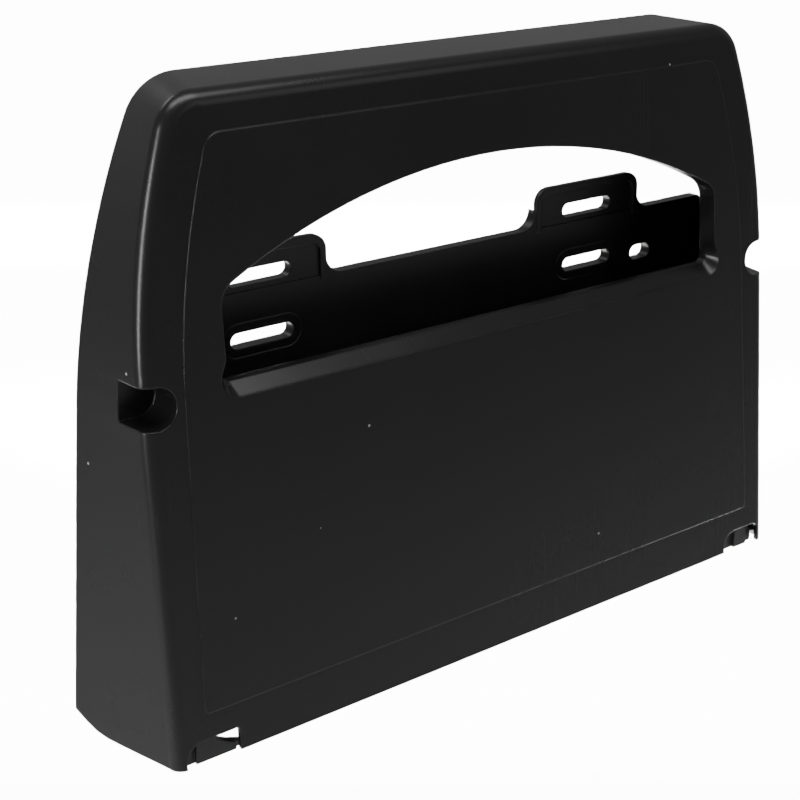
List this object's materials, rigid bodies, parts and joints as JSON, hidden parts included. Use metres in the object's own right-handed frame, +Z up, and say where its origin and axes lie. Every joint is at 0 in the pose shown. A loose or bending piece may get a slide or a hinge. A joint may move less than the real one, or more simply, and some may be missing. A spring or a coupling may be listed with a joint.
{
  "type": "wall-mounted paper dispenser",
  "caption": "Wall-mounted moulded dispenser for folded paper: slotted back plate, wedge-shaped front cover with an arched window, hinged at the bottom and held by side catches.",
  "frame": {"origin": "middle of the wall face, level with the cover's bottom edge", "axes": "+Z up, -Y out of the wall toward the user, +X to the right as seen by the user facing the wall from behind -Y"},
  "size_m": [0.4262, 0.0709, 0.3029],
  "materials": {
    "cover_plastic": "satin black injection-moulded plastic",
    "plate_plastic": "black injection-moulded plastic, lightly textured",
    "pin_plastic": "black acetal rod",
    "spring_steel": "plain spring steel"
  },
  "bodies": {
    "base": {"back_plate": "plate_plastic", "hinge_pin_left": "pin_plastic", "hinge_pin_right": "pin_plastic", "catch_rivets": "spring_steel", "catch_spring_left": "spring_steel", "catch_spring_right": "spring_steel"},
    "cover": {"front_cover": "cover_plastic"}
  },
  "joints": [
    {"name": "cover_hinge", "type": "hinge", "parent": "base", "child": "cover", "pos_m": [0, -0.0585, 0.0045], "axis": [1, 0, 0], "range_deg": [0, 125]}
  ]
}
